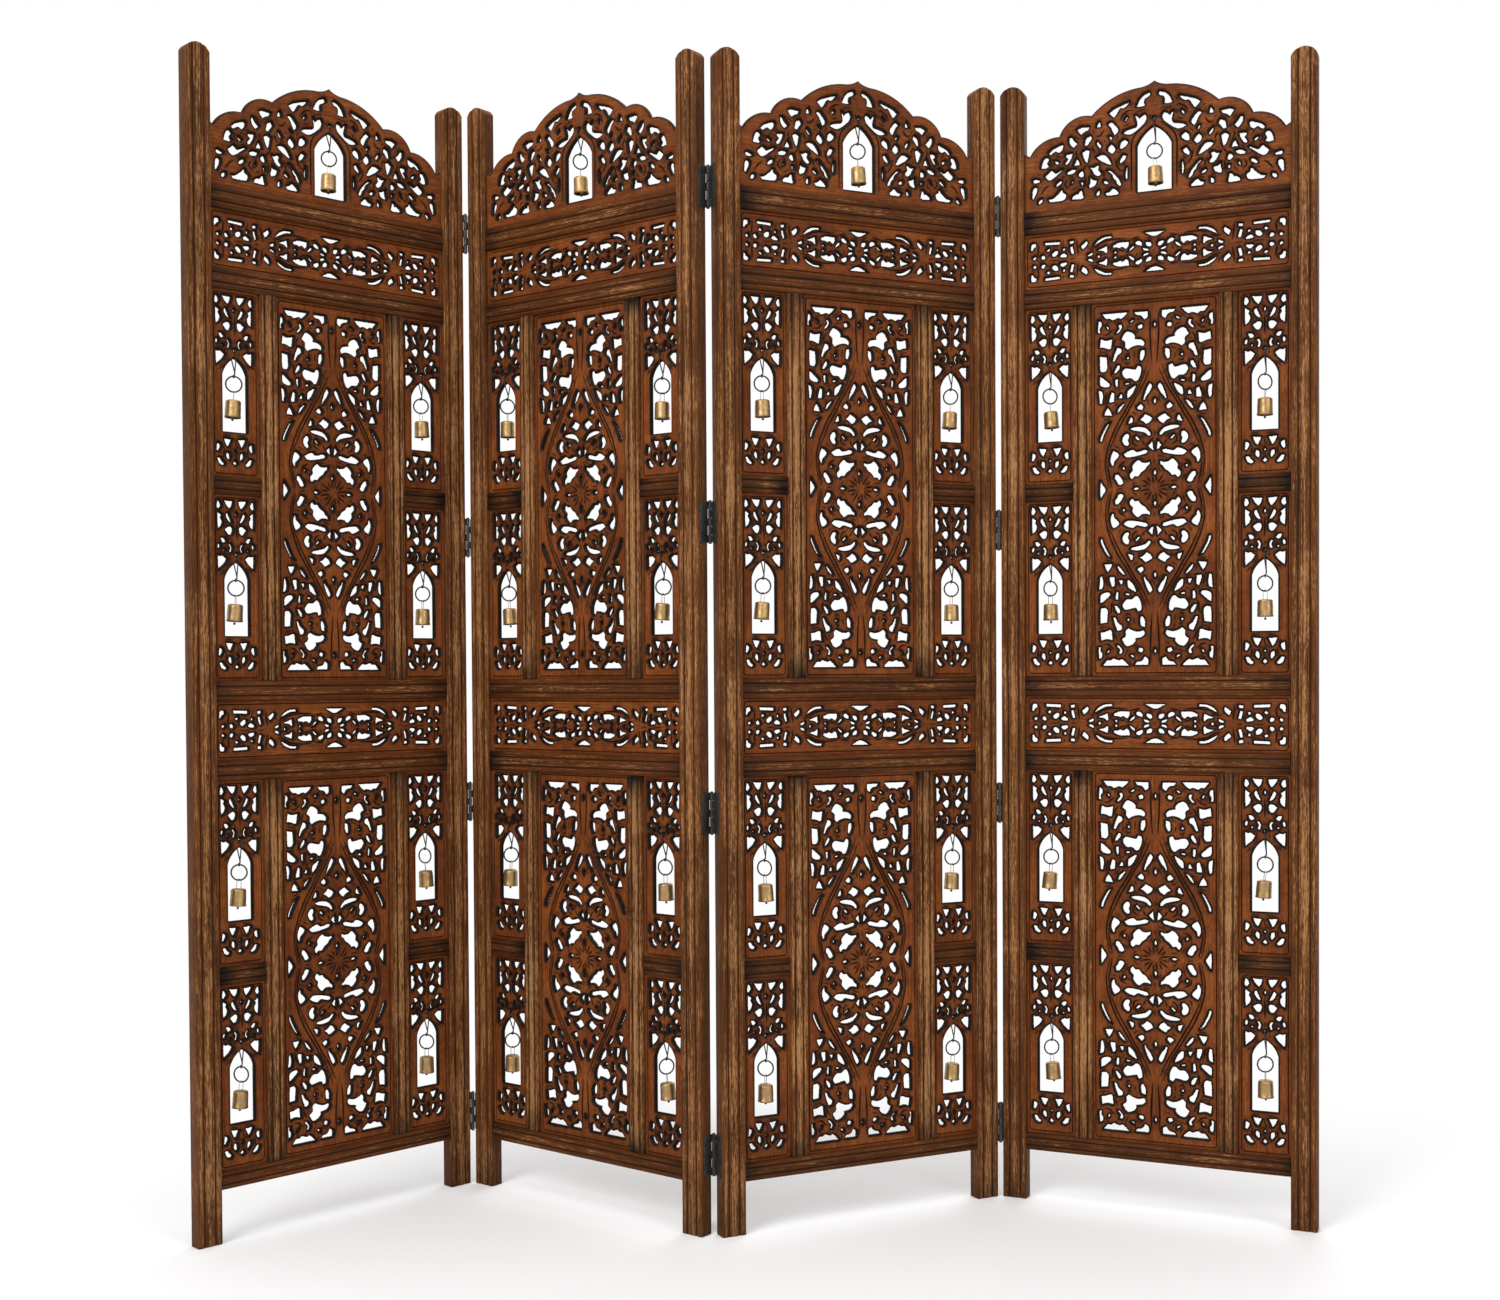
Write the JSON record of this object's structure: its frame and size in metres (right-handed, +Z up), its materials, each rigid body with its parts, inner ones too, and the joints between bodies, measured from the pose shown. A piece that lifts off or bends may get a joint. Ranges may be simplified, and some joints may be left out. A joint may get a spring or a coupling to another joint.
{
  "type": "folding screen",
  "caption": "Folding room screen of hinged wooden panels with pierced carved boards and small brass bells hung in arched windows.",
  "frame": {"origin": "on the floor, under the middle of the zigzag's bounding box", "axes": "+Z up, +X to the right along the screen, +Y away from the side that is seen first"},
  "size_m": [1.7406, 0.37, 1.829],
  "materials": {
    "frame_wood": "oiled, rubbed",
    "carved_wood": "stained, waxed",
    "brass": "antique",
    "black_iron": "blackened"
  },
  "bodies": {
    "panel_1": {"panel_1_left_stile": "frame_wood", "panel_1_right_stile": "frame_wood", "panel_1_inner_frame": "frame_wood", "panel_1_carved_boards": "carved_wood", "panel_1_window_boards": "carved_wood", "panel_1_hinges": "black_iron"},
    "panel_1_bell_crest": {"panel_1_bell_crest": "brass"},
    "panel_1_bell_row_1_left": {"panel_1_bell_row_1_left": "brass"},
    "panel_1_bell_row_1_right": {"panel_1_bell_row_1_right": "brass"},
    "panel_1_bell_row_2_left": {"panel_1_bell_row_2_left": "brass"},
    "panel_1_bell_row_2_right": {"panel_1_bell_row_2_right": "brass"},
    "panel_1_bell_row_3_left": {"panel_1_bell_row_3_left": "brass"},
    "panel_1_bell_row_3_right": {"panel_1_bell_row_3_right": "brass"},
    "panel_1_bell_row_4_left": {"panel_1_bell_row_4_left": "brass"},
    "panel_1_bell_row_4_right": {"panel_1_bell_row_4_right": "brass"},
    "panel_2": {"panel_2_left_stile": "frame_wood", "panel_2_right_stile": "frame_wood", "panel_2_inner_frame": "frame_wood", "panel_2_carved_boards": "carved_wood", "panel_2_window_boards": "carved_wood", "panel_2_hinges": "black_iron"},
    "panel_2_bell_crest": {"panel_2_bell_crest": "brass"},
    "panel_2_bell_row_1_left": {"panel_2_bell_row_1_left": "brass"},
    "panel_2_bell_row_1_right": {"panel_2_bell_row_1_right": "brass"},
    "panel_2_bell_row_2_left": {"panel_2_bell_row_2_left": "brass"},
    "panel_2_bell_row_2_right": {"panel_2_bell_row_2_right": "brass"},
    "panel_2_bell_row_3_left": {"panel_2_bell_row_3_left": "brass"},
    "panel_2_bell_row_3_right": {"panel_2_bell_row_3_right": "brass"},
    "panel_2_bell_row_4_left": {"panel_2_bell_row_4_left": "brass"},
    "panel_2_bell_row_4_right": {"panel_2_bell_row_4_right": "brass"},
    "panel_3": {"panel_3_left_stile": "frame_wood", "panel_3_right_stile": "frame_wood", "panel_3_inner_frame": "frame_wood", "panel_3_carved_boards": "carved_wood", "panel_3_window_boards": "carved_wood", "panel_3_hinges": "black_iron"},
    "panel_3_bell_crest": {"panel_3_bell_crest": "brass"},
    "panel_3_bell_row_1_left": {"panel_3_bell_row_1_left": "brass"},
    "panel_3_bell_row_1_right": {"panel_3_bell_row_1_right": "brass"},
    "panel_3_bell_row_2_left": {"panel_3_bell_row_2_left": "brass"},
    "panel_3_bell_row_2_right": {"panel_3_bell_row_2_right": "brass"},
    "panel_3_bell_row_3_left": {"panel_3_bell_row_3_left": "brass"},
    "panel_3_bell_row_3_right": {"panel_3_bell_row_3_right": "brass"},
    "panel_3_bell_row_4_left": {"panel_3_bell_row_4_left": "brass"},
    "panel_3_bell_row_4_right": {"panel_3_bell_row_4_right": "brass"},
    "panel_4": {"panel_4_left_stile": "frame_wood", "panel_4_right_stile": "frame_wood", "panel_4_inner_frame": "frame_wood", "panel_4_carved_boards": "carved_wood", "panel_4_window_boards": "carved_wood", "panel_4_hinges": "black_iron"},
    "panel_4_bell_crest": {"panel_4_bell_crest": "brass"},
    "panel_4_bell_row_1_left": {"panel_4_bell_row_1_left": "brass"},
    "panel_4_bell_row_1_right": {"panel_4_bell_row_1_right": "brass"},
    "panel_4_bell_row_2_left": {"panel_4_bell_row_2_left": "brass"},
    "panel_4_bell_row_2_right": {"panel_4_bell_row_2_right": "brass"},
    "panel_4_bell_row_3_left": {"panel_4_bell_row_3_left": "brass"},
    "panel_4_bell_row_3_right": {"panel_4_bell_row_3_right": "brass"},
    "panel_4_bell_row_4_left": {"panel_4_bell_row_4_left": "brass"},
    "panel_4_bell_row_4_right": {"panel_4_bell_row_4_right": "brass"}
  },
  "joints": [
    {"name": "fold_1_2", "type": "hinge", "parent": "panel_2", "child": "panel_1", "pos_m": [-0.49223, 0.16649, 0], "axis": [0, 0, 1], "range_deg": [-82.2, 97.8]},
    {"name": "fold_2_3", "type": "hinge", "parent": "panel_2", "child": "panel_3", "pos_m": [-0.07256, -0.12122, 0], "axis": [0, 0, 1], "range_deg": [-63, 117]},
    {"name": "fold_3_4", "type": "hinge", "parent": "panel_3", "child": "panel_4", "pos_m": [0.39911, 0.06966, 0], "axis": [0, 0, -1], "range_deg": [-49.4, 130.6]},
    {"name": "swing_1_crest", "type": "hinge", "parent": "panel_1", "child": "panel_1_bell_crest", "pos_m": [-0.68356, -0.0012, 1.7445], "axis": [-0.7133, -0.7009, 0], "range_deg": [-30, 30]},
    {"name": "swing_1_row_1_left", "type": "hinge", "parent": "panel_1", "child": "panel_1_bell_row_1_left", "pos_m": [-0.80553, -0.12106, 1.3657], "axis": [-0.7133, -0.7009, 0], "range_deg": [-30, 30]},
    {"name": "swing_1_row_1_right", "type": "hinge", "parent": "panel_1", "child": "panel_1_bell_row_1_right", "pos_m": [-0.5616, 0.11865, 1.3657], "axis": [-0.7133, -0.7009, 0], "range_deg": [-30, 30]},
    {"name": "swing_1_row_2_left", "type": "hinge", "parent": "panel_1", "child": "panel_1_bell_row_2_left", "pos_m": [-0.80553, -0.12106, 1.0517], "axis": [-0.7133, -0.7009, 0], "range_deg": [-30, 30]},
    {"name": "swing_1_row_2_right", "type": "hinge", "parent": "panel_1", "child": "panel_1_bell_row_2_right", "pos_m": [-0.5616, 0.11865, 1.0517], "axis": [-0.7133, -0.7009, 0], "range_deg": [-30, 30]},
    {"name": "swing_1_row_3_left", "type": "hinge", "parent": "panel_1", "child": "panel_1_bell_row_3_left", "pos_m": [-0.80553, -0.12106, 0.6117], "axis": [-0.7133, -0.7009, 0], "range_deg": [-30, 30]},
    {"name": "swing_1_row_3_right", "type": "hinge", "parent": "panel_1", "child": "panel_1_bell_row_3_right", "pos_m": [-0.5616, 0.11865, 0.6117], "axis": [-0.7133, -0.7009, 0], "range_deg": [-30, 30]},
    {"name": "swing_1_row_4_left", "type": "hinge", "parent": "panel_1", "child": "panel_1_bell_row_4_left", "pos_m": [-0.80553, -0.12106, 0.2977], "axis": [-0.7133, -0.7009, 0], "range_deg": [-30, 30]},
    {"name": "swing_1_row_4_right", "type": "hinge", "parent": "panel_1", "child": "panel_1_bell_row_4_right", "pos_m": [-0.5616, 0.11865, 0.2977], "axis": [-0.7133, -0.7009, 0], "range_deg": [-30, 30]},
    {"name": "swing_2_crest", "type": "hinge", "parent": "panel_2", "child": "panel_2_bell_crest", "pos_m": [-0.2824, 0.02263, 1.7445], "axis": [0.7912, -0.6115, 0], "range_deg": [-30, 30]},
    {"name": "swing_2_row_1_left", "type": "hinge", "parent": "panel_2", "child": "panel_2_bell_row_1_left", "pos_m": [-0.41769, 0.1272, 1.3657], "axis": [0.7912, -0.6115, 0], "range_deg": [-30, 30]},
    {"name": "swing_2_row_1_right", "type": "hinge", "parent": "panel_2", "child": "panel_2_bell_row_1_right", "pos_m": [-0.1471, -0.08194, 1.3657], "axis": [0.7912, -0.6115, 0], "range_deg": [-30, 30]},
    {"name": "swing_2_row_2_left", "type": "hinge", "parent": "panel_2", "child": "panel_2_bell_row_2_left", "pos_m": [-0.41769, 0.1272, 1.0517], "axis": [0.7912, -0.6115, 0], "range_deg": [-30, 30]},
    {"name": "swing_2_row_2_right", "type": "hinge", "parent": "panel_2", "child": "panel_2_bell_row_2_right", "pos_m": [-0.1471, -0.08194, 1.0517], "axis": [0.7912, -0.6115, 0], "range_deg": [-30, 30]},
    {"name": "swing_2_row_3_left", "type": "hinge", "parent": "panel_2", "child": "panel_2_bell_row_3_left", "pos_m": [-0.41769, 0.1272, 0.6117], "axis": [0.7912, -0.6115, 0], "range_deg": [-30, 30]},
    {"name": "swing_2_row_3_right", "type": "hinge", "parent": "panel_2", "child": "panel_2_bell_row_3_right", "pos_m": [-0.1471, -0.08194, 0.6117], "axis": [0.7912, -0.6115, 0], "range_deg": [-30, 30]},
    {"name": "swing_2_row_4_left", "type": "hinge", "parent": "panel_2", "child": "panel_2_bell_row_4_left", "pos_m": [-0.41769, 0.1272, 0.2977], "axis": [0.7912, -0.6115, 0], "range_deg": [-30, 30]},
    {"name": "swing_2_row_4_right", "type": "hinge", "parent": "panel_2", "child": "panel_2_bell_row_4_right", "pos_m": [-0.1471, -0.08194, 0.2977], "axis": [0.7912, -0.6115, 0], "range_deg": [-30, 30]},
    {"name": "swing_3_crest", "type": "hinge", "parent": "panel_3", "child": "panel_3_bell_crest", "pos_m": [0.16328, -0.02578, 1.7445], "axis": [-0.9041, -0.4274, 0], "range_deg": [-30, 30]},
    {"name": "swing_3_row_1_left", "type": "hinge", "parent": "panel_3", "child": "panel_3_bell_row_1_left", "pos_m": [0.00868, -0.09886, 1.3657], "axis": [-0.9041, -0.4274, 0], "range_deg": [-30, 30]},
    {"name": "swing_3_row_1_right", "type": "hinge", "parent": "panel_3", "child": "panel_3_bell_row_1_right", "pos_m": [0.31788, 0.04729, 1.3657], "axis": [-0.9041, -0.4274, 0], "range_deg": [-30, 30]},
    {"name": "swing_3_row_2_left", "type": "hinge", "parent": "panel_3", "child": "panel_3_bell_row_2_left", "pos_m": [0.00868, -0.09886, 1.0517], "axis": [-0.9041, -0.4274, 0], "range_deg": [-30, 30]},
    {"name": "swing_3_row_2_right", "type": "hinge", "parent": "panel_3", "child": "panel_3_bell_row_2_right", "pos_m": [0.31788, 0.04729, 1.0517], "axis": [-0.9041, -0.4274, 0], "range_deg": [-30, 30]},
    {"name": "swing_3_row_3_left", "type": "hinge", "parent": "panel_3", "child": "panel_3_bell_row_3_left", "pos_m": [0.00868, -0.09886, 0.6117], "axis": [-0.9041, -0.4274, 0], "range_deg": [-30, 30]},
    {"name": "swing_3_row_3_right", "type": "hinge", "parent": "panel_3", "child": "panel_3_bell_row_3_right", "pos_m": [0.31788, 0.04729, 0.6117], "axis": [-0.9041, -0.4274, 0], "range_deg": [-30, 30]},
    {"name": "swing_3_row_4_left", "type": "hinge", "parent": "panel_3", "child": "panel_3_bell_row_4_left", "pos_m": [0.00868, -0.09886, 0.2977], "axis": [-0.9041, -0.4274, 0], "range_deg": [-30, 30]},
    {"name": "swing_3_row_4_right", "type": "hinge", "parent": "panel_3", "child": "panel_3_bell_row_4_right", "pos_m": [0.31788, 0.04729, 0.2977], "axis": [-0.9041, -0.4274, 0], "range_deg": [-30, 30]},
    {"name": "swing_4_crest", "type": "hinge", "parent": "panel_4", "child": "panel_4_bell_crest", "pos_m": [0.63689, -0.02082, 1.7445], "axis": [0.9128, -0.4083, 0], "range_deg": [-30, 30]},
    {"name": "swing_4_row_1_left", "type": "hinge", "parent": "panel_4", "child": "panel_4_bell_row_1_left", "pos_m": [0.4808, 0.049, 1.3657], "axis": [0.9128, -0.4083, 0], "range_deg": [-30, 30]},
    {"name": "swing_4_row_1_right", "type": "hinge", "parent": "panel_4", "child": "panel_4_bell_row_1_right", "pos_m": [0.79299, -0.09065, 1.3657], "axis": [0.9128, -0.4083, 0], "range_deg": [-30, 30]},
    {"name": "swing_4_row_2_left", "type": "hinge", "parent": "panel_4", "child": "panel_4_bell_row_2_left", "pos_m": [0.4808, 0.049, 1.0517], "axis": [0.9128, -0.4083, 0], "range_deg": [-30, 30]},
    {"name": "swing_4_row_2_right", "type": "hinge", "parent": "panel_4", "child": "panel_4_bell_row_2_right", "pos_m": [0.79299, -0.09065, 1.0517], "axis": [0.9128, -0.4083, 0], "range_deg": [-30, 30]},
    {"name": "swing_4_row_3_left", "type": "hinge", "parent": "panel_4", "child": "panel_4_bell_row_3_left", "pos_m": [0.4808, 0.049, 0.6117], "axis": [0.9128, -0.4083, 0], "range_deg": [-30, 30]},
    {"name": "swing_4_row_3_right", "type": "hinge", "parent": "panel_4", "child": "panel_4_bell_row_3_right", "pos_m": [0.79299, -0.09065, 0.6117], "axis": [0.9128, -0.4083, 0], "range_deg": [-30, 30]},
    {"name": "swing_4_row_4_left", "type": "hinge", "parent": "panel_4", "child": "panel_4_bell_row_4_left", "pos_m": [0.4808, 0.049, 0.2977], "axis": [0.9128, -0.4083, 0], "range_deg": [-30, 30]},
    {"name": "swing_4_row_4_right", "type": "hinge", "parent": "panel_4", "child": "panel_4_bell_row_4_right", "pos_m": [0.79299, -0.09065, 0.2977], "axis": [0.9128, -0.4083, 0], "range_deg": [-30, 30]}
  ]
}
